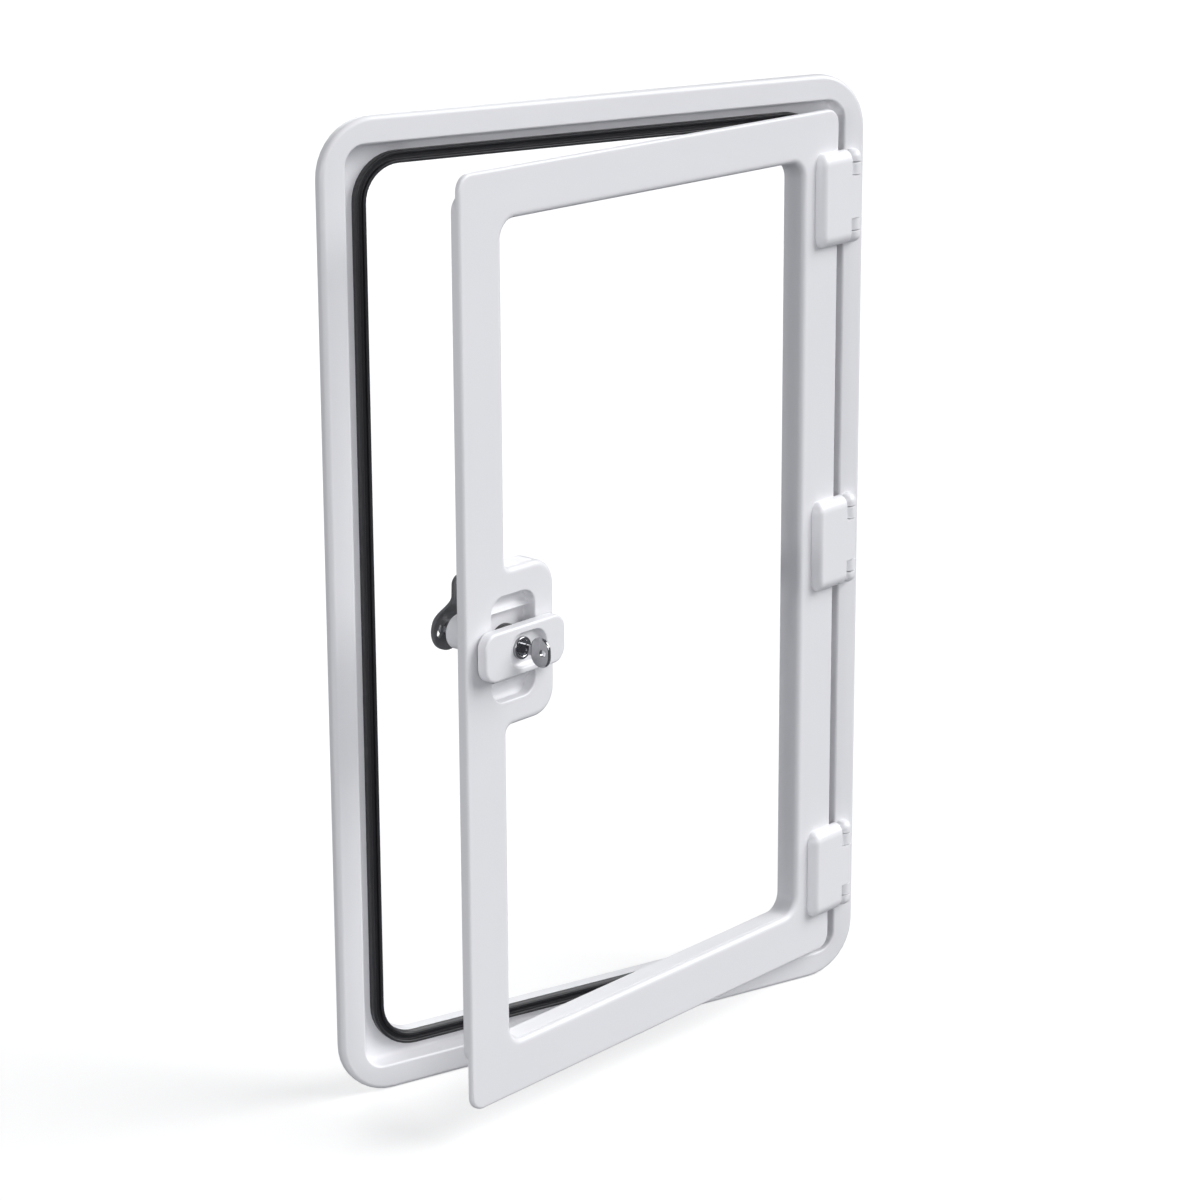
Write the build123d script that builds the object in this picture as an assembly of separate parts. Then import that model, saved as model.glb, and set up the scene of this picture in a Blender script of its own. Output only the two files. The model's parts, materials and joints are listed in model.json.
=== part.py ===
from build123d import *
import os

# Service hatch for a caravan or camper wall: a moulded outer frame with a rubber
# seal, and a hinged door frame with a turning handle, a key lock and a latch lever.
# Millimetres. X runs right, Y into the wall, Z up. The wall's outer skin is y = 0,
# and the origin lies on the flange's back face, in the middle of its bottom strip.
# Everything on the door is drawn with the door shut, then swung open together.

# Outer frame
FRAME_WIDTH = 474.0
FRAME_HEIGHT = 740.0
FRAME_CORNER = 43.0
FLANGE_WIDTH = 20.0
FLANGE_THICK = 8.0
FLANGE_ROUND = 5.5
FLANGE_INNER_EASE = 0.8
FRAME_WALL = 2.5
REBATE_DEPTH = 15.0
REBATE_CORNER = 16.0
SEAT_WIDTH = 21.5
COLLAR_DEPTH = 24.5

# Rubber seal in the rebate
SEAL_WIDTH = 9.0
SEAL_INSET = 0.5
SEAL_BASE = 3.2
SEAL_LIP = 2.6
SEAL_GAP = 0.4
SEAL_CORNER = 36.0

# Door frame
DOOR_GAP = 6.0
DOOR_HINGE_GAP = 8.0
DOOR_CORNER = 12.0
DOOR_PLATE = 4.0
DOOR_EDGE_DEPTH = 8.5
DOOR_EDGE_EASE = 1.6
BACKING_INSET = 5.5
SKIRT_TOP = 14.0
SKIRT_BOTTOM = 36.0
SKIRT_CORNER = 12.0
STILE_LATCH = 41.6
STILE_HINGE = 42.6
RAIL_TOP = 36.5
RAIL_BOTTOM = 41.3
WINDOW_CORNER = 14.0
WINDOW_EASE = 2.8
RIM_DEPTH = 20.0
RIM_CLEAR = 6.0
DOOR_OPEN_ANGLE = 16.0

# Lock tab and its finger pocket
TAB_REACH = 92.0
TAB_HEIGHT = 117.0
TAB_CORNER = 20.0
TAB_NECK_ROUND = 6.0
TAB_NECK_SPARE = 2.0
POCKET_WIDTH = 48.0
POCKET_HEIGHT = 78.0
POCKET_CORNER = 12.0
POCKET_LEDGE = 6.5
POCKET_DEPTH = 12.0
POCKET_DEEP_HEIGHT = 38.0
SCOOP_RADIUS = 10.5
SCOOP_DEPTH = 10.0
SCOOP_INSET = 10.0
LOCK_ACROSS = 50.5

# Hinges
HINGE_OUT = 7.1
HINGE_PROUD = 1.5
HINGE_SPREAD = 275.0
HINGE_LENGTH = 73.0
KNUCKLE_RADIUS = 7.0
KNUCKLE_LENGTH = 20.0
KNUCKLE_ROUND = 5.0
END_GAP = 0.4
LEAF_WIDTH = 25.4
LEAF_CORNER = 8.0
LEAF_END_ROUND = 7.0
LEAF_SIDE_ROUND = 5.5
LEAF_END_BACK = 4.5
NOTCH_GAP = 0.4
FRAME_NOTCH_GAP = 0.8
PIN_RADIUS = 2.0
RUNNING_GAP = 0.05
PIN_COVER = 3.0

# Handle
HANDLE_WIDTH = 85.0
HANDLE_HEIGHT = 37.5
HANDLE_CORNER = 11.0
HANDLE_THICK = 8.5
HANDLE_GAP = 2.0
HANDLE_EASE = 1.5
RECESS_WIDTH = 36.0
RECESS_HEIGHT = 27.0
RECESS_CORNER = 12.0
RECESS_DEPTH = 4.5
RECESS_SHIFT = 2.0
SHANK_RADIUS = 10.5
SHANK_END_GAP = 0.5
RING_RADIUS = 14.5
RING_HEIGHT = 4.0
RING_GAP = 0.6
SPINDLE_RADIUS = 6.0
BORE_GAP = 0.1

# Lock cylinder, plug and key
CYLINDER_RADIUS = 8.5
CYLINDER_LENGTH = 26.0
CYLINDER_PROUD = 2.0
PLUG_RADIUS = 5.5
PLUG_LENGTH = 24.0
KEY_THICK = 2.0
KEY_BLADE_HEIGHT = 7.0
KEY_BLADE_LENGTH = 20.0
KEY_SLOT_GAP = 0.1
KEY_NECK_LENGTH = 3.0
KEY_BOW_LENGTH = 17.0
KEY_BOW_HEIGHT = 21.0
KEY_BOW_CORNER = 8.0
KEY_HOLE_RADIUS = 2.2

# Housing and latch lever behind the door
HOUSING_RADIUS = 13.0
HOUSING_END = 57.0
LEVER_SETBACK = 67.0
LEVER_THICK = 3.0
LEVER_HUB_RADIUS = 16.0
LEVER_REACH = 43.0
LEVER_TIP_RADIUS = 7.0
LEVER_CRANK = 13.0
LEVER_CRANK_START = 17.0
LEVER_CRANK_RUN = 10.0
LEVER_EYE_WIDTH = 4.5
LEVER_EYE_HEIGHT = 8.5
LEVER_EYE_SIDE = 8.6
LEVER_EYE_TILT = 25.0
SCREW_RADIUS = 6.0
SCREW_HEIGHT = 3.5
SCREW_SHANK_RADIUS = 2.5

# Places worked out from the sizes above
bottom = -(FLANGE_WIDTH - FRAME_WALL) / 2
top = bottom + FRAME_HEIGHT
mid = (bottom + top) / 2
right = FRAME_WIDTH / 2
flange_front = -FLANGE_THICK
seat_front = flange_front + REBATE_DEPTH
seat_back = seat_front + FRAME_WALL
collar_back = flange_front + COLLAR_DEPTH
mouth_width = FRAME_WIDTH - 2 * FLANGE_WIDTH

door_front = flange_front
door_left = -mouth_width / 2 + DOOR_GAP
door_right = mouth_width / 2 - DOOR_HINGE_GAP
door_bottom = bottom + FLANGE_WIDTH + DOOR_GAP
door_top = top - FLANGE_WIDTH - DOOR_GAP
door_plate_back = door_front + DOOR_PLATE
door_edge_back = door_front + DOOR_EDGE_DEPTH
door_rim_back = door_front + RIM_DEPTH
window_left = door_left + STILE_LATCH
window_right = door_right - STILE_HINGE
window_bottom = door_bottom + RAIL_BOTTOM
window_top = door_top - RAIL_TOP
tab_right = door_left + TAB_REACH
neck_reach = TAB_HEIGHT / 2 + TAB_NECK_ROUND + TAB_NECK_SPARE

hinge_x = mouth_width / 2 + HINGE_OUT
hinge_y = flange_front - HINGE_PROUD
leaf_front = hinge_y - KNUCKLE_RADIUS
half_hinge = HINGE_LENGTH / 2
barrel_reach = half_hinge - KNUCKLE_LENGTH
hinge_levels = {"bottom": mid - HINGE_SPREAD, "middle": mid, "top": mid + HINGE_SPREAD}
hinge_axis = Axis((hinge_x, hinge_y, 0), (0, 0, 1))

lock_x = door_left + LOCK_ACROSS
lock_z = mid
handle_back = door_front - HANDLE_GAP
handle_front = handle_back - HANDLE_THICK
recess_floor = handle_front + RECESS_DEPTH
cylinder_front = recess_floor - CYLINDER_PROUD
cylinder_back = cylinder_front + CYLINDER_LENGTH
plug_back = cylinder_front + PLUG_LENGTH
pocket_floor = door_front + POCKET_DEPTH
shank_end = door_rim_back - SHANK_END_GAP
housing_end = door_front + HOUSING_END
lever_front = door_front + LEVER_SETBACK - LEVER_THICK / 2
lever_back = lever_front + LEVER_THICK


def slab(left, right_side, low, high, front, back, corner):
    """A rounded rectangle seen from the front, from depth front to depth back."""
    middle = ((left + right_side) / 2, back, (low + high) / 2)
    plane = Plane(middle, x_dir=(1, 0, 0), z_dir=(0, -1, 0))
    return extrude(plane * RectangleRounded(right_side - left, high - low, corner), amount=back - front)


def frame_slab(inset, front, back, corner):
    """A slab centred on the frame, its sides moved in by inset."""
    return slab(-right + inset, right - inset, bottom + inset, top - inset, front, back, corner)


def rod(x, z, radius, front, back):
    """A round bar along Y from depth front to depth back."""
    plane = Plane((x, back, z), x_dir=(1, 0, 0), z_dir=(0, -1, 0))
    return extrude(plane * Circle(radius), amount=back - front)


def post(x, y, radius, low, high):
    """A round bar along Z from height low to height high."""
    return extrude(Plane((x, y, low)) * Circle(radius), amount=high - low)


def brick(x_low, x_high, y_low, y_high, z_low, z_high):
    """A plain block between the given limits."""
    centre = ((x_low + x_high) / 2, (y_low + y_high) / 2, (z_low + z_high) / 2)
    return Pos(*centre) * Box(x_high - x_low, y_high - y_low, z_high - z_low)


def edges_at_depth(shape, depth):
    """The edges of a shape that lie in the plane y = depth."""
    return shape.edges().filter_by_position(Axis.Y, depth - 0.001, depth + 0.001)


def swung(shape):
    """The shape moved with the door to its open rest angle."""
    return shape.rotate(hinge_axis, DOOR_OPEN_ANGLE)


def make_outer_frame():
    """Flange, rebate with its seat for the seal, and the collar through the wall."""
    flange = frame_slab(0, flange_front, 0, FRAME_CORNER)
    flange = fillet(edges_at_depth(flange, flange_front), FLANGE_ROUND)
    tray = frame_slab(FLANGE_WIDTH - FRAME_WALL, 0, seat_back, REBATE_CORNER + FRAME_WALL)
    rim_inset = FLANGE_WIDTH + SEAT_WIDTH
    collar_corner = SEAL_CORNER - SEAL_WIDTH
    collar = frame_slab(rim_inset - FRAME_WALL, 0, collar_back, collar_corner + FRAME_WALL)
    mouth = frame_slab(FLANGE_WIDTH, flange_front, seat_front, REBATE_CORNER)
    body = flange + tray + collar - mouth
    body -= frame_slab(rim_inset, flange_front, collar_back, collar_corner)
    body = chamfer(edges_at_depth(body, flange_front), FLANGE_INNER_EASE)
    for level in hinge_levels.values():
        reach = barrel_reach + END_GAP
        body -= post(hinge_x, hinge_y, KNUCKLE_RADIUS + FRAME_NOTCH_GAP, level - reach, level + reach)
        bore_reach = half_hinge - PIN_COVER
        body -= post(hinge_x, hinge_y, PIN_RADIUS + RUNNING_GAP, level - bore_reach, level + bore_reach)
    return body


def make_seal():
    """Rubber ring on the seat: a flat base with two lips that the shut door meets."""
    outer_inset = FLANGE_WIDTH + SEAT_WIDTH - SEAL_INSET - SEAL_WIDTH
    inner_inset = outer_inset + SEAL_WIDTH
    lip_top = door_edge_back + SEAL_GAP
    ring = frame_slab(outer_inset, lip_top, seat_front, SEAL_CORNER)
    ring -= frame_slab(inner_inset, lip_top, seat_front, SEAL_CORNER - SEAL_WIDTH)
    groove_outer = outer_inset + SEAL_LIP
    groove_inner = inner_inset - SEAL_LIP
    groove = frame_slab(groove_outer, lip_top, seat_front - SEAL_BASE, SEAL_CORNER - SEAL_LIP)
    groove -= frame_slab(groove_inner, lip_top, seat_front - SEAL_BASE, SEAL_CORNER - SEAL_WIDTH + SEAL_LIP)
    return ring - groove


def make_knuckles(level):
    """The two fixed knuckles of one hinge, domed at their outer ends, on the flange."""
    knuckles = []
    for side in (-1, 1):
        inner = level + side * (barrel_reach + END_GAP / 2)
        outer = level + side * half_hinge
        low, high = min(inner, outer), max(inner, outer)
        block = brick(
            hinge_x - KNUCKLE_RADIUS, hinge_x + KNUCKLE_RADIUS, leaf_front, flange_front, low, high,
        )
        ends = block.edges().filter_by_position(Axis.Z, outer - 0.001, outer + 0.001)
        over = fillet(ends.filter_by(Axis.X).sort_by(Axis.Y)[:1], KNUCKLE_ROUND)
        wide = fillet(ends.filter_by(Axis.Y), KNUCKLE_ROUND)
        knuckle = post(hinge_x, hinge_y, KNUCKLE_RADIUS, low, high) & over & wide
        stop = level + side * (half_hinge - PIN_COVER)
        bore = PIN_RADIUS + RUNNING_GAP
        knuckle -= post(hinge_x, hinge_y, bore, min(inner, stop), max(inner, stop))
        knuckles.append(knuckle)
    return Compound(children=knuckles)


def make_pin(level):
    """The steel hinge pin, held between the closed ends of the knuckles."""
    reach = half_hinge - PIN_COVER - END_GAP
    return post(hinge_x, hinge_y, PIN_RADIUS, level - reach, level + reach)


def make_leaf(level):
    """The door's half of one hinge: a rounded block on the stile with its barrel."""
    left = door_right - LEAF_WIDTH
    low, high = level - half_hinge, level + half_hinge
    block = brick(left, hinge_x - LEAF_END_BACK, leaf_front, door_front, low, high)
    across = block.edges().filter_by(Axis.X).sort_by(Axis.Y)[:2]
    upright = block.edges().filter_by(Axis.Z).sort_by(lambda edge: edge.center().X + edge.center().Y)[:1]
    corners = block.edges().filter_by(Axis.Y).sort_by(Axis.X)[:2]
    leaf = fillet(across, LEAF_END_ROUND) & fillet(upright, LEAF_SIDE_ROUND) & fillet(corners, LEAF_CORNER)
    leaf -= post(hinge_x, hinge_y, KNUCKLE_RADIUS + NOTCH_GAP, low, high)
    web_left = hinge_x - KNUCKLE_RADIUS - 2 * NOTCH_GAP
    leaf += brick(web_left, hinge_x, leaf_front, hinge_y, level - barrel_reach, level + barrel_reach)
    leaf += post(hinge_x, hinge_y, KNUCKLE_RADIUS, level - barrel_reach, level + barrel_reach)
    leaf -= post(hinge_x, hinge_y, PIN_RADIUS + RUNNING_GAP, low, high)
    return swung(leaf)


def window_sketch(grow):
    """Outline of the door's window, going round the lock tab, grown by grow."""
    width = window_right - window_left + 2 * grow
    height = window_top - window_bottom + 2 * grow
    centre_x = (window_left + window_right) / 2
    centre_z = (window_bottom + window_top) / 2
    opening = Pos(centre_x, centre_z) * RectangleRounded(width, height, WINDOW_CORNER + grow)
    nose_x = tab_right - grow
    root_x = window_left - 2 * grow - WINDOW_CORNER
    tab_centre = Pos((root_x + nose_x) / 2, lock_z)
    opening -= tab_centre * Rectangle(nose_x - root_x, TAB_HEIGHT - 2 * grow)
    reach = TAB_HEIGHT / 2 - grow
    corners = [v for v in opening.vertices() if abs(abs(v.Y - lock_z) - reach) < 0.01]
    nose = [v for v in corners if abs(v.X - nose_x) < 0.01]
    opening = fillet(nose, TAB_CORNER - grow)
    necks = [
        v for v in opening.vertices()
        if abs(abs(v.Y - lock_z) - reach) < 0.01 and abs(v.X - window_left + grow) < 0.01
    ]
    return fillet(necks, TAB_NECK_ROUND + grow)


def along_y(sketch, front, back):
    """Extrude a sketch drawn in (x, z) from depth front to depth back."""
    plane = Plane((0, back, 0), x_dir=(1, 0, 0), z_dir=(0, -1, 0))
    return extrude(plane * sketch, amount=back - front)


def make_moulding():
    """The door's moulding: face plate, backing, side skirts, deeper rim and lock tab."""
    plate = slab(door_left, door_right, door_bottom, door_top, door_front, door_plate_back, DOOR_CORNER)
    plate = chamfer(edges_at_depth(plate, door_front), DOOR_EDGE_EASE)
    backing = slab(
        door_left + BACKING_INSET, door_right - BACKING_INSET,
        door_bottom + BACKING_INSET, door_top - BACKING_INSET,
        door_plate_back, door_edge_back, DOOR_CORNER,
    )
    skirt = slab(
        door_left, door_right, door_bottom + SKIRT_BOTTOM, door_top - SKIRT_TOP,
        door_plate_back, door_edge_back, SKIRT_CORNER,
    )
    rim_inset = FLANGE_WIDTH + SEAT_WIDTH + RIM_CLEAR
    rim = frame_slab(rim_inset, door_plate_back, door_rim_back, SEAL_CORNER - SEAL_WIDTH)
    body = plate + backing + skirt + rim
    body -= along_y(window_sketch(0), door_front, door_rim_back)
    window_edges = [
        edge for edge in edges_at_depth(body, door_front)
        if window_left - 1 < edge.center().X < window_right + 1
        and window_bottom - 1 < edge.center().Z < window_top + 1
    ]
    body = chamfer(window_edges, WINDOW_EASE)
    body -= make_pocket()
    return body - rod(lock_x, lock_z, SHANK_RADIUS + BORE_GAP, pocket_floor, door_rim_back)


def door_brick(right_side, low, high):
    """A block through the moulding's whole depth, from its latch side to right_side."""
    return brick(door_left, right_side, door_front, door_rim_back, low, high)


def make_bars(ring):
    """The moulding round the window as simple bars: two rails with its corners, and straight stiles."""
    levels = [door_bottom, window_bottom + WINDOW_CORNER, window_top - WINDOW_CORNER, door_top]
    bars = []
    for low, high in zip(levels, levels[1:]):
        bars += (ring & door_brick(door_right, low, high)).solids()
    return Compound(children=bars)


def make_pocket():
    """The finger pocket: a ledge, a trough at each end, and a deep middle."""
    left, right_side = lock_x - POCKET_WIDTH / 2, lock_x + POCKET_WIDTH / 2
    low, high = lock_z - POCKET_HEIGHT / 2, lock_z + POCKET_HEIGHT / 2
    outline = slab(left, right_side, low, high, door_front, pocket_floor, POCKET_CORNER)
    hollow = slab(left, right_side, low, high, door_front, door_front + POCKET_LEDGE, POCKET_CORNER)
    trough_depth = door_front + SCOOP_DEPTH - SCOOP_RADIUS
    for side in (-1, 1):
        trough_z = lock_z + side * (POCKET_HEIGHT / 2 - SCOOP_INSET)
        plane = Plane((left, trough_depth, trough_z), x_dir=(0, 1, 0), z_dir=(1, 0, 0))
        trough = extrude(plane * Circle(SCOOP_RADIUS), amount=POCKET_WIDTH)
        hollow += trough & outline
    deep = brick(
        left, right_side, door_front, pocket_floor,
        lock_z - POCKET_DEEP_HEIGHT / 2, lock_z + POCKET_DEEP_HEIGHT / 2,
    )
    return hollow + deep


def make_ring():
    """Black ring on the pocket's floor, round the handle's shank."""
    ring = rod(lock_x, lock_z, RING_RADIUS, pocket_floor - RING_HEIGHT, pocket_floor)
    ring -= rod(lock_x, lock_z, SHANK_RADIUS + RING_GAP, pocket_floor - RING_HEIGHT, pocket_floor)
    return swung(ring)


def make_housing():
    """White round housing that carries the spindle through the wall's depth."""
    housing = rod(lock_x, lock_z, HOUSING_RADIUS, door_rim_back, housing_end)
    housing -= rod(lock_x, lock_z, SPINDLE_RADIUS + BORE_GAP, door_rim_back, housing_end)
    return swung(housing)


def make_handle():
    """The handle plate with its oblong recess and the round shank behind it."""
    half_width, half_height = HANDLE_WIDTH / 2, HANDLE_HEIGHT / 2
    plate = slab(
        lock_x - half_width, lock_x + half_width, lock_z - half_height, lock_z + half_height,
        handle_front, handle_back, HANDLE_CORNER,
    )
    plate = chamfer(edges_at_depth(plate, handle_front), HANDLE_EASE)
    centre = lock_x + RECESS_SHIFT
    recess = slab(
        centre - RECESS_WIDTH / 2, centre + RECESS_WIDTH / 2,
        lock_z - RECESS_HEIGHT / 2, lock_z + RECESS_HEIGHT / 2,
        handle_front, recess_floor, RECESS_CORNER,
    )
    shank = rod(lock_x, lock_z, SHANK_RADIUS, handle_back, shank_end)
    return plate + shank - recess - rod(lock_x, lock_z, CYLINDER_RADIUS, recess_floor, cylinder_back)


def make_spindle():
    """Steel spindle from the end of the handle's shank to the latch lever."""
    return rod(lock_x, lock_z, SPINDLE_RADIUS, shank_end, lever_front)


def make_cylinder():
    """Bright lock cylinder fixed in the handle, bored for the turning plug."""
    cylinder = rod(lock_x, lock_z, CYLINDER_RADIUS, cylinder_front, cylinder_back)
    return cylinder - rod(lock_x, lock_z, PLUG_RADIUS + RUNNING_GAP, cylinder_front, plug_back)


def make_plug():
    """The plug that turns with the key, slotted for its blade."""
    plug = rod(lock_x, lock_z, PLUG_RADIUS, cylinder_front, plug_back - RUNNING_GAP)
    half_slot = KEY_THICK / 2 + KEY_SLOT_GAP
    half_height = KEY_BLADE_HEIGHT / 2 + KEY_SLOT_GAP
    slot_end = cylinder_front + KEY_BLADE_LENGTH + KEY_SLOT_GAP
    return plug - brick(
        lock_x - half_slot, lock_x + half_slot, cylinder_front, slot_end,
        lock_z - half_height, lock_z + half_height,
    )


def make_key():
    """The key: blade in the plug, short neck, and a rounded bow with a ring hole."""
    neck_front = cylinder_front - KEY_NECK_LENGTH
    bow_front = neck_front - KEY_BOW_LENGTH
    profile = Pos((neck_front + cylinder_front + KEY_BLADE_LENGTH) / 2, 0) * Rectangle(
        KEY_NECK_LENGTH + KEY_BLADE_LENGTH, KEY_BLADE_HEIGHT,
    )
    bow = Pos((bow_front + neck_front) / 2, 0) * RectangleRounded(
        KEY_BOW_LENGTH, KEY_BOW_HEIGHT, KEY_BOW_CORNER,
    )
    profile += bow
    profile -= Pos(bow_front + KEY_BOW_LENGTH / 3, 0) * Circle(KEY_HOLE_RADIUS)
    plane = Plane((lock_x - KEY_THICK / 2, 0, lock_z), x_dir=(0, 1, 0), z_dir=(1, 0, 0))
    return extrude(plane * profile, amount=KEY_THICK)


def make_lever():
    """The latch lever: round hub with a slanted eye, cranked tongue pointing up."""
    hub = rod(lock_x, lock_z, LEVER_HUB_RADIUS, lever_front, lever_back)
    start = LEVER_CRANK_START
    end = start + LEVER_CRANK_RUN
    side = Polyline(
        (lever_front, 0), (lever_front, start), (lever_front - LEVER_CRANK, end),
        (lever_front - LEVER_CRANK, LEVER_REACH + 1), (lever_front - LEVER_CRANK + LEVER_THICK, LEVER_REACH + 1),
        (lever_front - LEVER_CRANK + LEVER_THICK, end + 1), (lever_back, start + 1),
        (lever_back, 0), close=True,
    )
    plane = Plane((lock_x - LEVER_HUB_RADIUS, 0, lock_z), x_dir=(0, 1, 0), z_dir=(1, 0, 0))
    strip = extrude(plane * make_face(side), amount=2 * LEVER_HUB_RADIUS)
    tip_z = LEVER_REACH - LEVER_TIP_RADIUS
    outline = make_hull((Circle(LEVER_HUB_RADIUS) + Pos(0, tip_z) * Circle(LEVER_TIP_RADIUS)).edges())
    front = lever_front - LEVER_CRANK
    tongue = strip & along_y(Pos(lock_x, lock_z) * outline, front, lever_back)
    lever = hub + tongue
    eye = Pos(lock_x - LEVER_EYE_SIDE, lock_z) * Rot(0, 0, -LEVER_EYE_TILT) * SlotOverall(
        LEVER_EYE_HEIGHT, LEVER_EYE_WIDTH, rotation=90,
    )
    lever -= along_y(eye, lever_front, lever_back)
    return lever - rod(lock_x, lock_z, SCREW_SHANK_RADIUS + BORE_GAP, lever_front, lever_back)


def make_screw():
    """Hexagon screw that holds the lever to the spindle."""
    plane = Plane((lock_x, lever_back + SCREW_HEIGHT, lock_z), x_dir=(1, 0, 0), z_dir=(0, -1, 0))
    head = extrude(plane * RegularPolygon(SCREW_RADIUS, 6), amount=SCREW_HEIGHT)
    return head + rod(lock_x, lock_z, SCREW_SHANK_RADIUS, lever_front, lever_back)


moulding = make_moulding()
lock_block = door_brick(tab_right, lock_z - neck_reach, lock_z + neck_reach)
parts = {
    "outer_frame": make_outer_frame(), "frame_seal": make_seal(),
    "door_frame": swung(make_bars(moulding - lock_block)), "lock_tab": swung(moulding & lock_block),
}
for name, level in hinge_levels.items():
    parts[name + "_hinge_knuckles"] = make_knuckles(level)
    parts[name + "_hinge_pin"] = make_pin(level)
    parts[name + "_hinge_leaf"] = make_leaf(level)
parts["lock_ring"] = make_ring()
parts["lock_housing"] = make_housing()
parts["handle_plate"] = swung(make_handle())
parts["handle_spindle"] = swung(make_spindle())
parts["lock_cylinder"] = swung(make_cylinder())
parts["latch_lever"] = swung(make_lever())
parts["lever_screw"] = swung(make_screw())
parts["cylinder_plug"] = swung(make_plug())
parts["key"] = swung(make_key())

os.makedirs("parts", exist_ok=True)
for node, shape in parts.items():
    export_step(shape, "parts/" + node + ".step")
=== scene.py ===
import json
from math import cos, radians, sin

import bmesh
import bpy
from bpy.props import FloatProperty, FloatVectorProperty, PointerProperty
from mathutils import Matrix, Vector


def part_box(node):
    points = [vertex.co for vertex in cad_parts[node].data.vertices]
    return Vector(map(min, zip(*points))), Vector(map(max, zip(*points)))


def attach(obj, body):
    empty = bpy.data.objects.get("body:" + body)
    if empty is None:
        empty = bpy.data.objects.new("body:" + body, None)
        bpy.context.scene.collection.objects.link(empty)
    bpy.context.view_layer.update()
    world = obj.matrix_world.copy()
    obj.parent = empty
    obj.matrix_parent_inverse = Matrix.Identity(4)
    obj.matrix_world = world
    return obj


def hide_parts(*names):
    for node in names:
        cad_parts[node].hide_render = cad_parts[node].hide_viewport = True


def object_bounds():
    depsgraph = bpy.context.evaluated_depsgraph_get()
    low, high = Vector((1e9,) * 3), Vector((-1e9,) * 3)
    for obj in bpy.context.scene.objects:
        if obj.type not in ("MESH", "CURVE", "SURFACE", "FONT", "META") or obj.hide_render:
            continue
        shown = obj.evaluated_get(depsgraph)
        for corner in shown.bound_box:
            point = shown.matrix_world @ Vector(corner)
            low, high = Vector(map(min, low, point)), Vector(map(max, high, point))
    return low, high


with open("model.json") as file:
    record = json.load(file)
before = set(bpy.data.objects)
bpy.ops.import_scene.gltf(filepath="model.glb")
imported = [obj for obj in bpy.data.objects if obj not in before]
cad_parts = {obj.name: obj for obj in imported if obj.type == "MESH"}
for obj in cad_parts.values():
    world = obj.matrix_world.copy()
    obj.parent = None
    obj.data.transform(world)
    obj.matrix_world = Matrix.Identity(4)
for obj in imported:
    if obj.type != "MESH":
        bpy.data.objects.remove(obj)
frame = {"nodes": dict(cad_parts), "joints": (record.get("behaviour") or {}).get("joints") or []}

bl_info = {
    "name": "Service hatch",
    "version": (1, 0, 0),
    "blender": (4, 5, 0),
    "location": "View3D > Sidebar > Hatch",
    "description": "Builds a caravan service hatch over its CAD frame, with its studio",
    "category": "Object",
}

MM = 0.001
APART = 50 * MM
CLOSE = 0.01 * MM
WELD = 0.002 * MM

# Places taken from the CAD frame, in metres. The door is drawn shut and then swung open.
CAD_LOW, CAD_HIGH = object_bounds()
FRAME_LOW, FRAME_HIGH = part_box("outer_frame")
SWING = next(joint for joint in frame["joints"] if joint["name"] == "door_swing")
HINGE = Vector(SWING["pos_m"])
OPEN_ANGLE = -radians(SWING["range_deg"][0])
HINGE_LEVELS = {
    side: (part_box(side + "_hinge_pin")[0].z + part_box(side + "_hinge_pin")[1].z) / 2
    for side in ("bottom", "middle", "top")
}

# The length that a fixed knuckle takes with its bush, at each end of a hinge.
KNUCKLE = 20 * MM

# Depths of the frame, from the flange's front to the collar's end.
FACE = FRAME_LOW.y
WALL = 0.0
SEAT = 7.0 * MM
SEAT_BACK = 9.5 * MM
COLLAR_BACK = FRAME_HIGH.y
COLLAR_CORNER = 27.0 * MM

# The door's outline, its depths, its stiles and rails, and the tab that carries the lock.
DOOR_LEFT, DOOR_RIGHT = -211.0 * MM, 209.0 * MM
DOOR_LOW, DOOR_TOP = FRAME_LOW.z + 26.0 * MM, FRAME_HIGH.z - 26.0 * MM
PLATE_BACK = FACE + 4.0 * MM
EDGE_BACK = FACE + 8.5 * MM
RIM_BACK = FACE + 20.0 * MM
LOCK_STILE, HINGE_STILE = 41.6 * MM, 42.6 * MM
BOTTOM_RAIL, TOP_RAIL = 41.3 * MM, 36.5 * MM
WINDOW_CORNER = 14.0 * MM
TAB_END, TAB_HALF = 92.0 * MM, 58.5 * MM
TAB_NECK, TAB_TIP = 6.0 * MM, 20.0 * MM

# The lock's axis, and the depths of what turns on it.
LOCK = Vector((DOOR_LEFT + 50.5 * MM, 0.0, (FRAME_LOW.z + FRAME_HIGH.z) / 2))
POCKET_FLOOR = FACE + 12.0 * MM
HANDLE_BACK = FACE - 2.0 * MM
HANDLE_FRONT = HANDLE_BACK - 8.5 * MM
SHANK_END = RIM_BACK - 0.5 * MM
HOUSING_END = FACE + 57.0 * MM
SPINDLE_BORE = 6.1 * MM


def box_corners(left, right, low, high, radius):
    """The four corners of a rounded rectangle seen from the front."""
    return [(left, low, radius), (right, low, radius), (right, high, radius), (left, high, radius)]


def frame_corners(inset, radius, out=0.0):
    """The frame's outline moved in by inset, its top and bottom then out again by out."""
    ends = inset - out
    return box_corners(
        FRAME_LOW.x + inset, FRAME_HIGH.x - inset, FRAME_LOW.z + ends, FRAME_HIGH.z - ends, radius,
    )


def door_corners(inset, radius):
    """The shut door's outline moved in by inset."""
    return box_corners(
        DOOR_LEFT + inset, DOOR_RIGHT - inset, DOOR_LOW + inset, DOOR_TOP - inset, radius,
    )


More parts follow.
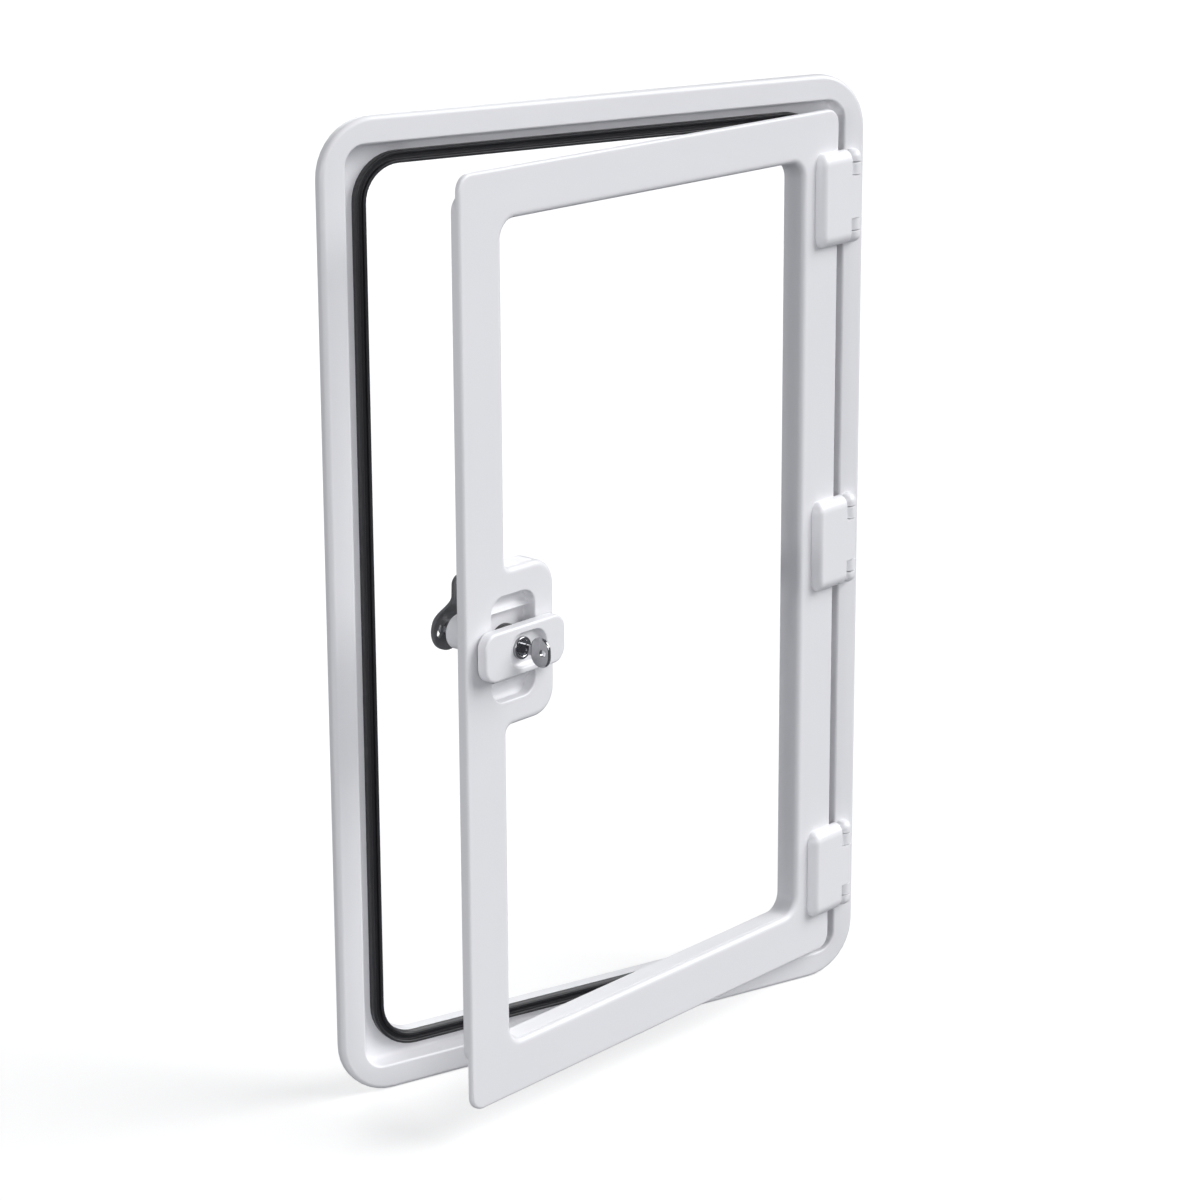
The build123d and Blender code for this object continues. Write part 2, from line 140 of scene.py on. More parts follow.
def window_corners(grow):
    """The door's window round the lock tab, grown by grow."""
    left, right = DOOR_LEFT + LOCK_STILE - grow, DOOR_RIGHT - HINGE_STILE + grow
    low, high = DOOR_LOW + BOTTOM_RAIL - grow, DOOR_TOP - TOP_RAIL + grow
    nose = DOOR_LEFT + TAB_END - grow
    reach = TAB_HALF - grow
    corner, neck, tip = WINDOW_CORNER + grow, TAB_NECK + grow, TAB_TIP - grow
    return [
        (left, low, corner), (right, low, corner), (right, high, corner), (left, high, corner),
        (left, LOCK.z + reach, neck), (nose, LOCK.z + reach, tip),
        (nose, LOCK.z - reach, tip), (left, LOCK.z - reach, neck),
    ]


def lock_corners(width, height, radius, shift=0.0, rise=0.0):
    """A rounded rectangle about the lock, moved sideways by shift and up by rise."""
    across, level = LOCK.x + shift, LOCK.z + rise
    return box_corners(
        across - width / 2, across + width / 2, level - height / 2, level + height / 2, radius,
    )


def ring(bm, corners, depth, steps=10):
    """A closed loop of edges at one depth: a polygon with its corners bevelled round."""
    verts = [bm.verts.new((x, depth, z)) for x, z, _ in corners]
    bm.faces.new(verts)
    for vert, (_, _, radius) in zip(verts, corners):
        arc = bmesh.ops.bevel(
            bm, geom=[vert], offset=radius, offset_type="OFFSET", segments=steps,
            profile=0.5, affect="VERTICES", material=-1,
        )["verts"]
    face = arc[0].link_faces[0]
    edges = list(face.edges)
    bmesh.ops.delete(bm, geom=[face], context="FACES_ONLY")
    return edges


def hoop(bm, x, z, radius, depth, steps=64):
    """A closed round loop of edges at one depth."""
    place = Matrix.Translation((x, depth, z)) @ Matrix.Rotation(radians(90), 4, "X")
    made = bmesh.ops.create_circle(bm, segments=steps, radius=radius, matrix=place)
    return list(dict.fromkeys(edge for vert in made["verts"] for edge in vert.link_edges))


def ease(bm, edges, radius, steps=4):
    """Round a run of edges over by a radius."""
    bmesh.ops.bevel(
        bm, geom=edges, offset=radius, offset_type="OFFSET", segments=steps,
        profile=0.5, affect="EDGES", material=-1,
    )


def skin(bm, steps, closed=False):
    """Walls through a row of loops, each step a (shape, depth, ease).

    A shape is a list of corners, or a radius about the lock. The loops are bridged while they
    stand well apart, then each moves to its depth, and its edges are rounded by its ease.
    """
    loops = []
    for place, (shape, _, _) in enumerate(steps):
        if isinstance(shape, list):
            loops.append(ring(bm, shape, place * APART))
        else:
            loops.append(hoop(bm, LOCK.x, LOCK.z, shape, place * APART))
    pairs = list(zip(loops, loops[1:]))
    if closed:
        pairs.append((loops[-1], loops[0]))
    for one, two in pairs:
        bmesh.ops.bridge_loops(bm, edges=one + two)
    for place, (loop, (_, depth, _)) in enumerate(zip(loops, steps)):
        verts = list(dict.fromkeys(vert for edge in loop for vert in edge.verts))
        bmesh.ops.translate(bm, vec=(0, depth - place * APART, 0), verts=verts)
    for loop, (_, _, soft) in zip(loops, steps):
        if soft > 0:
            ease(bm, loop, soft)
    return loops[0], loops[-1]


def lid(bm, *loops):
    """Fill the flat face between loops that lie at one depth."""
    edges = [edge for loop in loops for edge in loop]
    bmesh.ops.triangle_fill(bm, use_beauty=True, use_dissolve=False, edges=edges, normal=(0, -1, 0))


def turned(bm, profile, closed=False):
    """A round form on the lock's axis from (radius, depth, ease) steps."""
    first, last = skin(bm, profile, closed)
    if not closed:
        bmesh.ops.edgeloop_fill(bm, edges=first)
        bmesh.ops.edgeloop_fill(bm, edges=last)


def block(bm, low, high):
    """A plain block between two corners; gives back its vertices."""
    low, high = Vector(low), Vector(high)
    size = Matrix.Diagonal((*(high - low), 1.0))
    return bmesh.ops.create_cube(bm, size=1.0, matrix=Matrix.Translation((low + high) / 2) @ size)["verts"]


def post(bm, x, y, radius, low, high, steps=48):
    """A round bar along Z; gives back its vertices."""
    place = Matrix.Translation((x, y, (low + high) / 2))
    return bmesh.ops.create_cone(
        bm, cap_ends=True, segments=steps, radius1=radius, radius2=radius,
        depth=high - low, matrix=place,
    )["verts"]


def edges_where(verts, test):
    """Edges among the vertices whose two ends both pass a test."""
    found = dict.fromkeys(edge for vert in verts for edge in vert.link_edges)
    return [edge for edge in found if all(test(vert.co) for vert in edge.verts)]


def swing_open(bm):
    """Turn what was drawn on the shut door to its open rest angle."""
    bmesh.ops.rotate(bm, cent=HINGE, matrix=Matrix.Rotation(OPEN_ANGLE, 3, "Z"), verts=bm.verts)


def object_from(bm, name):
    """A scene object made from a bmesh."""
    mesh = bpy.data.meshes.new(name)
    bm.to_mesh(mesh)
    bm.free()
    piece = bpy.data.objects.new(name, mesh)
    bpy.context.scene.collection.objects.link(piece)
    return piece


def rims_at(parts, level):
    """Edges that lie flat at one height."""
    return [edge for edge in parts if all(abs(vert.co.z - level) < CLOSE for vert in edge.verts)]


def carve(bm, cutter, how="DIFFERENCE"):
    """Cut one bmesh by another, or join them, and give back the result."""
    body, tool = object_from(bm, "carve_body"), object_from(cutter, "carve_tool")
    change = body.modifiers.new("Carve", "BOOLEAN")
    change.object = tool
    change.operation = how
    change.solver = "EXACT"
    shown = body.evaluated_get(bpy.context.evaluated_depsgraph_get())
    result = bmesh.new()
    result.from_mesh(shown.to_mesh())
    for used in (body, tool):
        mesh = used.data
        bpy.data.objects.remove(used)
        bpy.data.meshes.remove(mesh)
    return result


def soften(piece, width):
    """Round a piece's sharp edges a little."""
    bevel = piece.modifiers.new("Soft edges", "BEVEL")
    bevel.width = width
    bevel.segments = 3
    bevel.limit_method = "ANGLE"
    bevel.angle_limit = radians(35)
    bevel.harden_normals = True


def finish_piece(bm, name, body, finish, nodes, sharp=32.0, soft=0.0):
    """Clean a bmesh and make it a piece that stands for its CAD nodes."""
    bmesh.ops.remove_doubles(bm, verts=bm.verts, dist=WELD)
    bmesh.ops.recalc_face_normals(bm, faces=bm.faces)
    for face in bm.faces:
        face.smooth = True
    for edge in bm.edges:
        edge.smooth = not (edge.is_manifold and edge.calc_face_angle() > radians(sharp))
    piece = object_from(bm, name)
    piece.data.materials.append(finish)
    if soft > 0:
        soften(piece, soft)
    normals = piece.modifiers.new("Weighted normals", "WEIGHTED_NORMAL")
    normals.keep_sharp = True
    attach(piece, body)
    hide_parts(*nodes)
    return piece


def dress_node(name, finish, soft=0.0):
    """Give a CAD node its finish and, where wanted, softened edges."""
    node = frame["nodes"][name]
    node.data.materials.clear()
    node.data.materials.append(finish)
    if soft > 0:
        weld = node.modifiers.new("Weld", "WELD")
        weld.merge_threshold = CLOSE
        soften(node, soft)


def node_at(tree, kind, **values):
    """Add a shader node and set its sockets."""
    made = tree.nodes.new(kind)
    for socket, value in values.items():
        made.inputs[socket.replace("_", " ")].default_value = value
    return made


def surface(name, colour, roughness, metal=0.0, patches=0.02, grain=1400.0, relief=0.02):
    """A finish with faint colour patches, uneven gloss and a fine grain, on Object coordinates."""
    known = name + "_finish"
    if known in bpy.data.materials:
        return bpy.data.materials[known]
    finish = bpy.data.materials.new(known)
    finish.use_nodes = True
    tree = finish.node_tree
    shader = tree.nodes["Principled BSDF"]
    shader.inputs["Metallic"].default_value = metal
    where = tree.nodes.new("ShaderNodeTexCoord")

    cloud = node_at(tree, "ShaderNodeTexNoise", Scale=9.0, Detail=4.0)
    tone = tree.nodes.new("ShaderNodeMix")
    tone.data_type = "RGBA"
    tone.inputs["A"].default_value = (*[value * (1 - patches) for value in colour], 1)
    tone.inputs["B"].default_value = (*[min(1, value * (1 + patches)) for value in colour], 1)
    tree.links.new(where.outputs["Object"], cloud.inputs["Vector"])
    tree.links.new(cloud.outputs["Fac"], tone.inputs["Factor"])
    tree.links.new(tone.outputs["Result"], shader.inputs["Base Color"])

    smear = node_at(tree, "ShaderNodeTexNoise", Scale=60.0, Detail=6.0, Roughness=0.6)
    gloss = node_at(tree, "ShaderNodeMapRange")
    gloss.inputs["To Min"].default_value = roughness * 0.88
    gloss.inputs["To Max"].default_value = roughness * 1.12
    tree.links.new(where.outputs["Object"], smear.inputs["Vector"])
    tree.links.new(smear.outputs["Fac"], gloss.inputs["Value"])
    tree.links.new(gloss.outputs["Result"], shader.inputs["Roughness"])

    fine = node_at(tree, "ShaderNodeTexNoise", Scale=grain, Detail=3.0)
    bump = node_at(tree, "ShaderNodeBump", Strength=relief)
    bump.inputs["Distance"].default_value = 0.4 * MM
    tree.links.new(where.outputs["Object"], fine.inputs["Vector"])
    tree.links.new(fine.outputs["Fac"], bump.inputs["Height"])
    tree.links.new(bump.outputs["Normal"], shader.inputs["Normal"])
    return finish


def white_moulding():
    """Satin white plastic of the two large mouldings."""
    return surface("white_moulding", bpy.context.scene.hatch_finish.moulding, 0.36)


def white_fittings():
    """The slightly brighter white plastic of hinges and handle."""
    return surface("white_fittings", bpy.context.scene.hatch_finish.fittings, 0.3)


def black_rubber():
    """Soft black rubber of the seal and the ring."""
    colour = bpy.context.scene.hatch_finish.rubber
    return surface("black_rubber", colour, 0.42, patches=0.2, relief=0.08)


def bright_metal():
    """Plated metal of the lock cylinder and the key."""
    colour = bpy.context.scene.hatch_finish.plating
    return surface("bright_metal", colour, 0.12, metal=1.0, grain=900.0)


def dark_metal():
    """Dark burnished metal of the latch lever."""
    colour = bpy.context.scene.hatch_finish.lever
    return surface("dark_metal", colour, 0.36, metal=0.3, relief=0.04)


def steel():
    """Plain bright steel of pins, spindle and screw."""
    return surface("steel", bpy.context.scene.hatch_finish.steel, 0.26, metal=1.0)


class HatchFrame(bpy.types.PropertyGroup):
    """Sizes of the outer frame and its seal."""

    flange: FloatProperty(
        name="Flange width", description="Width of the flange's front", default=20 * MM, unit="LENGTH",
    )
    corner: FloatProperty(
        name="Corner", description="Radius of the flange's corners", default=43 * MM, unit="LENGTH",
    )
    edge: FloatProperty(
        name="Outer edge", description="Rounding of the flange's outer edge", default=3.8 * MM,
        unit="LENGTH",
    )
    seat_out: FloatProperty(
        name="Seat ends", description="How far the seat moves out at top and bottom", default=4 * MM,
        unit="LENGTH",
    )
    lip: FloatProperty(
        name="Inner lip", description="Rounding of the flange's inner edge", default=1.8 * MM,
        unit="LENGTH",
    )
    foot: FloatProperty(
        name="Foot", description="Hollow rounding where rebate meets seat", default=4 * MM, unit="LENGTH",
    )
    seal: FloatProperty(
        name="Seal", description="Width of the rubber seal", default=9 * MM, unit="LENGTH",
    )
    seal_lip: FloatProperty(
        name="Seal lip", description="Width of each of the seal's lips", default=2.6 * MM, unit="LENGTH",
    )


class HatchDoor(bpy.types.PropertyGroup):
    """Roundings of the door moulding."""

    corner: FloatProperty(
        name="Corner", description="Radius of the door's corners", default=12 * MM, unit="LENGTH",
    )
    edge: FloatProperty(
        name="Outer edge", description="Rounding of the door's front edge", default=2 * MM, unit="LENGTH",
    )
    window: FloatProperty(
        name="Window edge", description="Rounding of the window's front edge", default=4 * MM,
        unit="LENGTH",
    )
    pocket: FloatProperty(
        name="Pocket edge", description="Rounding of the finger pocket's rim", default=1.2 * MM,
        unit="LENGTH",
    )
    scoop: FloatProperty(
        name="Scoop", description="Radius of the two finger troughs", default=8.5 * MM, unit="LENGTH",
    )


class HatchHinge(bpy.types.PropertyGroup):
    """Sizes of the three hinges."""

    length: FloatProperty(
        name="Length", description="Length of each hinge", default=73 * MM, unit="LENGTH",
    )
    radius: FloatProperty(
        name="Knuckle radius", description="Radius of barrel and knuckles", default=7 * MM, unit="LENGTH",
    )
    leaf: FloatProperty(
        name="Leaf width", description="How far the leaf reaches over the stile", default=28.4 * MM,
        unit="LENGTH",
    )
    leaf_end: FloatProperty(
        name="Leaf end", description="How far the leaf stops short of the pin's axis", default=9 * MM,
        unit="LENGTH",
    )
    corner: FloatProperty(
        name="Leaf corner", description="Corner radius of the leaf", default=8 * MM, unit="LENGTH",
    )
    pillow: FloatProperty(
        name="Leaf edge", description="Rounding of the leaf's front edge", default=7.4 * MM, unit="LENGTH",
    )
    squeeze: FloatProperty(
        name="Side edge", description="Width of the side's rounding against its depth", default=0.7,
        min=0.3, max=1,
    )
    stretch: FloatProperty(
        name="End edge", description="Height of the end's rounding against its depth", default=1.25,
        min=1, max=2,
    )
    lug: FloatProperty(
        name="Lug", description="Length of the domed lug at each end", default=9.4 * MM, unit="LENGTH",
    )
    dome: FloatProperty(
        name="Dome", description="Rounding of the knuckles' outer ends", default=6.4 * MM, unit="LENGTH",
    )
    gap: FloatProperty(
        name="Gap", description="Gap lines between the knuckles", default=0.8 * MM, unit="LENGTH",
    )
    leaf_gap: FloatProperty(
        name="Leaf gap", description="Gap from knuckle to leaf against the gap lines", default=1.6, min=1,
    )
    bead: FloatProperty(
        name="Bead", description="Rounding of the edges along the gap lines", default=0.4 * MM,
        unit="LENGTH",
    )
    notch: FloatProperty(
        name="Notch", description="Gap between the barrel and the flange", default=0.8 * MM, unit="LENGTH",
    )


class HatchLock(bpy.types.PropertyGroup):
    """Sizes of the handle, lock and key."""

    width: FloatProperty(
        name="Handle width", description="Width of the handle plate", default=82.5 * MM, unit="LENGTH",
    )
    height: FloatProperty(
        name="Handle height", description="Height of the handle plate", default=36 * MM, unit="LENGTH",
    )
    edge: FloatProperty(
        name="Handle edge", description="Rounding of the handle's front edge", default=1.8 * MM,
        unit="LENGTH",
    )
    dish: FloatProperty(
        name="Recess depth", description="Depth of the handle's recess", default=4.5 * MM, unit="LENGTH",
    )
    cylinder: FloatProperty(
        name="Cylinder radius", description="Radius of the lock cylinder", default=8.5 * MM, unit="LENGTH",
    )
    key: FloatProperty(
        name="Key thickness", description="Thickness of the key's bow", default=2.6 * MM, unit="LENGTH",
    )


class HatchFinish(bpy.types.PropertyGroup):
    """Colours of the finishes."""

    moulding: FloatVectorProperty(
        name="Moulding", description="Colour of frame and door", default=(0.835, 0.835, 0.858),
        subtype="COLOR", min=0, max=1,
    )
    fittings: FloatVectorProperty(
        name="Fittings", description="Colour of hinges and handle", default=(0.86, 0.86, 0.883),
        subtype="COLOR", min=0, max=1,
    )
    rubber: FloatVectorProperty(
        name="Rubber", description="Colour of the seal", default=(0.018, 0.018, 0.021),
        subtype="COLOR", min=0, max=1,
    )
    plating: FloatVectorProperty(
        name="Plating", description="Colour of cylinder and key", default=(0.42, 0.42, 0.435),
        subtype="COLOR", min=0, max=1,
    )
    lever: FloatVectorProperty(
        name="Lever", description="Colour of the latch lever", default=(0.15, 0.15, 0.156),
        subtype="COLOR", min=0, max=1,
    )
    steel: FloatVectorProperty(
        name="Steel", description="Colour of pins and spindle", default=(0.5, 0.5, 0.51),
        subtype="COLOR", min=0, max=1,
    )


class HatchStage(bpy.types.PropertyGroup):
    """Floor, backdrop, light and camera."""

    floor: FloatVectorProperty(
        name="Floor", description="Colour of the floor", default=(0.45, 0.45, 0.45),
        subtype="COLOR", min=0, max=1,
    )
    floor_glow: FloatProperty(
        name="Floor glow", description="Strength of the floor's own light", default=0.64, min=0,
    )
    backdrop_glow: FloatProperty(
        name="Backdrop glow", description="Strength of the backdrop's own light", default=1.1, min=0,
    )
    key_strength: FloatProperty(
        name="Key light", description="Strength of the light from the upper right", default=2.9, min=0,
    )
    front_strength: FloatProperty(
        name="Front light", description="Strength of the light from the camera's side", default=0.8, min=0,
    )
    side_strength: FloatProperty(
        name="Side light", description="Strength of the light from the left", default=0.8, min=0,
    )
    back_strength: FloatProperty(
        name="Back light", description="Strength of the light from behind", default=1.2, min=0,
    )
    ambient: FloatProperty(
        name="Ambient", description="Strength of the light from all round", default=0.18, min=0,
    )
    lens: FloatProperty(
        name="Lens", description="Focal length in millimetres", default=100.36,
    )
    yaw: FloatProperty(
        name="Yaw", description="How far the camera looks to the right", default=0.5812,
        subtype="ANGLE",
    )
    pitch: FloatProperty(
        name="Pitch", description="How far the camera looks up", default=-0.2565, subtype="ANGLE",
    )


class HATCH_OT_frame(bpy.types.Operator):
    """Builds the outer frame: flange, rebate, seat and collar"""

    bl_idname = "hatch.frame"
    bl_label = "Outer frame"

    def execute(self, context):
        sizes = context.scene.hatch_frame
        flange, collar, shell = sizes.flange, 41.5 * MM, 2.5 * MM
        mouth, outside, edge = 16 * MM, COLLAR_CORNER + shell, 0.5 * MM
        profile = [
            (0, sizes.corner, WALL, 0), (0, sizes.corner, FACE, sizes.edge),
            (flange, mouth, FACE, sizes.lip), (flange, mouth, SEAT, sizes.foot),
            (collar, COLLAR_CORNER, SEAT, edge), (collar, COLLAR_CORNER, COLLAR_BACK, edge),
            (collar - shell, outside, COLLAR_BACK, 0), (collar - shell, outside, SEAT_BACK, 0),
            (flange - shell, mouth + shell, SEAT_BACK, 0.8 * MM),
            (flange - shell, mouth + shell, WALL, 0),
        ]
        bm = bmesh.new()
        steps = [
            (frame_corners(inset, radius, sizes.seat_out if inset > flange else 0), depth, soft)
            for inset, radius, depth, soft in profile
        ]
        skin(bm, steps, closed=True)
        bmesh.ops.recalc_face_normals(bm, faces=bm.faces)
        notches = bmesh.new()
        hinge = context.scene.hatch_hinge
        reach = barrel_reach(hinge) + hinge.gap
        for level in HINGE_LEVELS.values():
            post(notches, HINGE.x, HINGE.y, hinge.radius + hinge.notch, level - reach, level + reach)
        bm = carve(bm, notches)
        finish_piece(
            bm, "outer_frame_shell", "frame", white_moulding(), ["outer_frame"],
        )
        return {"FINISHED"}


class HATCH_OT_seal(bpy.types.Operator):
    """Builds the rubber seal with its two lips"""

    bl_idname = "hatch.seal"
    bl_label = "Seal"

    def execute(self, context):
        sizes = context.scene.hatch_frame
        outer, corner = 32 * MM, 36 * MM
        inner = outer + sizes.seal
        lip_top = EDGE_BACK + 0.4 * MM
        valley, hollow = SEAT - 3.2 * MM, 0.7 * MM
        lip = sizes.seal_lip
        tip = lip * 0.42
        profile = [
            (outer, SEAT, 0), (outer, lip_top, tip), (outer + lip, lip_top, tip),
            (outer + lip, valley, hollow), (inner - lip, valley, hollow),
            (inner - lip, lip_top, tip), (inner, lip_top, tip), (inner, SEAT, 0),
        ]
        bm = bmesh.new()
        steps = [
            (frame_corners(inset, corner - (inset - outer), sizes.seat_out), depth, soft)
            for inset, depth, soft in profile
        ]
        skin(bm, steps, closed=True)
        finish_piece(
            bm, "frame_seal_rubber", "frame", black_rubber(), ["frame_seal"],
        )
        return {"FINISHED"}


class HATCH_OT_door(bpy.types.Operator):
    """Builds the door moulding with its window, rim and finger pocket"""

    bl_idname = "hatch.door"
    bl_label = "Door"

    def execute(self, context):
        sizes = context.scene.hatch_door
        bm = bmesh.new()
        shelf, step, back_shelf = 1.5 * MM, 5.5 * MM, 2.5 * MM
        rim, soft_rim, soft_edge = 47.5 * MM, 0.8 * MM, 0.6 * MM
        outside = [
            (door_corners(sizes.edge + shelf, sizes.corner - sizes.edge - shelf), FACE, 0),
            (door_corners(0, sizes.corner), FACE, sizes.edge),
            (door_corners(0, sizes.corner), PLATE_BACK, 0),
            (door_corners(step, sizes.corner), PLATE_BACK, 0),
            (door_corners(step, sizes.corner), EDGE_BACK, soft_edge),
            (frame_corners(rim, COLLAR_CORNER), EDGE_BACK, soft_rim),
            (frame_corners(rim, COLLAR_CORNER), RIM_BACK, soft_rim),
            (frame_corners(rim + back_shelf, COLLAR_CORNER - back_shelf), RIM_BACK, 0),
        ]
        window = [
            (window_corners(sizes.window + shelf), FACE, 0), (window_corners(0), FACE, sizes.window),
            (window_corners(0), RIM_BACK, soft_edge), (window_corners(back_shelf), RIM_BACK, 0),
        ]
        width, height, corner, shift = 45 * MM, 78 * MM, 12 * MM, -1.5 * MM
        foot = 1 * MM
        pocket = [
            (lock_corners(width + 2 * grow, height + 2 * grow, corner + grow, shift), depth, soft)
            for grow, depth, soft in (
                (sizes.pocket + shelf, FACE, 0), (0, FACE, sizes.pocket),
                (0, POCKET_FLOOR, foot), (-2 * foot, POCKET_FLOOR, 0),
            )
        ]
        outer_front, outer_back = skin(bm, outside)
        inner_front, inner_back = skin(bm, window)
        hollow_front, hollow_floor = skin(bm, pocket)
        lid(bm, outer_front, inner_front, hollow_front)
        lid(bm, outer_back, inner_back)
        bmesh.ops.edgeloop_fill(bm, edges=hollow_floor)
        self.add_skirt(bm)
        for side in (-1, 1):
            self.add_scoop(bm, side, sizes.scoop, width, shift)
        swing_open(bm)
        finish_piece(
            bm, "door_moulding", "door", white_moulding(),
            ["door_frame", "lock_tab"],
        )
        return {"FINISHED"}

    def add_skirt(self, bm):
        """The deeper part of the edge, flush with the plate's sides between two S-shaped ends."""
        low, high, radius, thick = DOOR_LOW + 36 * MM, DOOR_TOP - 14 * MM, 12 * MM, 5.6 * MM
        outer = box_corners(DOOR_LEFT, DOOR_RIGHT, low, high, radius)
        inner = box_corners(
            DOOR_LEFT + thick, DOOR_RIGHT - thick, low + thick, high - thick, radius - thick,
        )
        steps = [
            (outer, PLATE_BACK, 0), (outer, EDGE_BACK, 0.6 * MM), (inner, EDGE_BACK, 0),
            (inner, PLATE_BACK, 0),
        ]
        skin(bm, steps, closed=True)

    def add_scoop(self, bm, side, radius, width, shift):
        """One finger trough: a block in the pocket with a round channel and a ridge."""
        near, middle, far = 25.4 * MM, 33 * MM, 40 * MM
        ridge, bottom = FACE + 6.5 * MM, FACE + 10 * MM
        sunk, crest_edge, length = 0.5 * MM, 0.5 * MM, 60 * MM
        left, right = LOCK.x + shift - width / 2 - MM, LOCK.x + shift + width / 2 + MM
        part = bmesh.new()
        low, high = sorted((LOCK.z + side * near, LOCK.z + side * far))
        block(part, (left, ridge, low), (right, POCKET_FLOOR + sunk, high))
        channel = bmesh.new()
        place = Matrix.Translation((LOCK.x, bottom - radius, LOCK.z + side * middle))
        bmesh.ops.create_cone(
            channel, cap_ends=True, segments=96, radius1=radius, radius2=radius,
            depth=length, matrix=place @ Matrix.Rotation(radians(90), 4, "Y"),
        )
        part = carve(part, channel)
        crest = [
            edge for edge in part.edges
            if all(abs(vert.co.y - ridge) < CLOSE for vert in edge.verts)
            and edge.calc_length() > width / 2
        ]
        ease(part, crest, crest_edge, 3)
        mesh = bpy.data.meshes.new("scoop")
        part.to_mesh(mesh)
        part.free()
        bm.from_mesh(mesh)
        bpy.data.meshes.remove(mesh)


def barrel_reach(hinge):
    """Half the length of the barrel between the two fixed knuckles."""
    return hinge.length / 2 - KNUCKLE


class HATCH_OT_hinges(bpy.types.Operator):
    """Builds the three hinges: door leaves with barrels, and fixed knuckles with bushes"""

    bl_idname = "hatch.hinges"
    bl_label = "Hinges"

    def execute(self, context):
        sizes = context.scene.hatch_hinge
        for name, level in HINGE_LEVELS.items():
            self.add_leaf(sizes, name, level)
            self.add_knuckles(sizes, name, level)
            dress_node(name + "_hinge_pin", steel())
        return {"FINISHED"}

    def add_leaf(self, sizes, name, level):
        """A rounded block on the stile, notched round the knuckles, with its barrel."""
        half = sizes.length / 2
        front = HINGE.y - sizes.radius
        right = HINGE.x - sizes.leaf_end
        width = (right - DOOR_RIGHT + sizes.leaf) / sizes.squeeze
        short = half / sizes.stretch
        bm = bmesh.new()
        verts = block(bm, (right - width, front, level - short), (right, FACE, level + short))
        corners = [
            edge for edge in edges_where(verts, lambda co: co.x < right - MM)
            if abs(edge.verts[0].co.y - edge.verts[1].co.y) > MM
        ]
        ease(bm, corners, sizes.corner, 10)
        rim = [
            edge for edge in bm.edges
            if all(vert.co.y < front + CLOSE for vert in edge.verts)
            and not all(vert.co.x > right - CLOSE for vert in edge.verts)
        ]
        ease(bm, rim, sizes.pillow, 8)
        bmesh.ops.scale(
            bm, vec=(sizes.squeeze, 1, sizes.stretch),
            space=Matrix.Translation((-right, 0, -level)), verts=bm.verts,
        )
        reach, overlap = barrel_reach(sizes), 4 * MM
        notches = bmesh.new()
        for low, high in ((level - half - MM, level - reach), (level + reach, level + half + MM)):
            post(notches, HINGE.x, HINGE.y, sizes.radius + sizes.leaf_gap * sizes.gap, low, high)
        bm = carve(bm, notches)
        web, barrel = bmesh.new(), bmesh.new()
        block(web, (right - overlap, front, level - reach), (HINGE.x, HINGE.y, level + reach))
        post(barrel, HINGE.x, HINGE.y, sizes.radius, level - reach, level + reach)
        for side in (-1, 1):
            ease(barrel, rims_at(barrel.edges, level + side * reach), sizes.bead, 3)
        bm = carve(carve(bm, web, "UNION"), barrel, "UNION")
        swing_open(bm)
        finish_piece(
            bm, name + "_hinge_leaf_cover", "door", white_fittings(),
            [name + "_hinge_leaf"],
        )

    def add_knuckles(self, sizes, name, level):
        """A domed lug and a bush at each end, standing on the flange."""
        bm = bmesh.new()
        closer, step, sunk = 0.3 * MM, 0.1 * MM, 0.5 * MM
        reach = barrel_reach(sizes) - closer
        half = sizes.length / 2
        lug = half - sizes.lug
        for side in (-1, 1):
            outer, inner = level + side * half, level + side * lug
            post(bm, HINGE.x, HINGE.y, sizes.radius, *sorted((outer, inner)))
            ease(bm, rims_at(bm.edges, inner), sizes.bead, 3)
            ease(bm, rims_at(bm.edges, outer), sizes.dome, 8)
            ends = sorted((level + side * (reach + sizes.gap), level + side * (lug - sizes.gap)))
            post(bm, HINGE.x, HINGE.y, sizes.radius - step, *ends)
            for end in ends:
                ease(bm, rims_at(bm.edges, end), sizes.bead, 3)
        cut = bmesh.ops.bisect_plane(
            bm, geom=bm.verts[:] + bm.edges[:] + bm.faces[:], plane_co=(0, FACE + sunk, 0),
            plane_no=(0, 1, 0), clear_outer=True,
        )["geom_cut"]
        bmesh.ops.edgeloop_fill(bm, edges=[part for part in cut if isinstance(part, bmesh.types.BMEdge)])
        finish_piece(
            bm, name + "_hinge_knuckle_pair", "frame", white_fittings(),
            [name + "_hinge_knuckles"],
        )


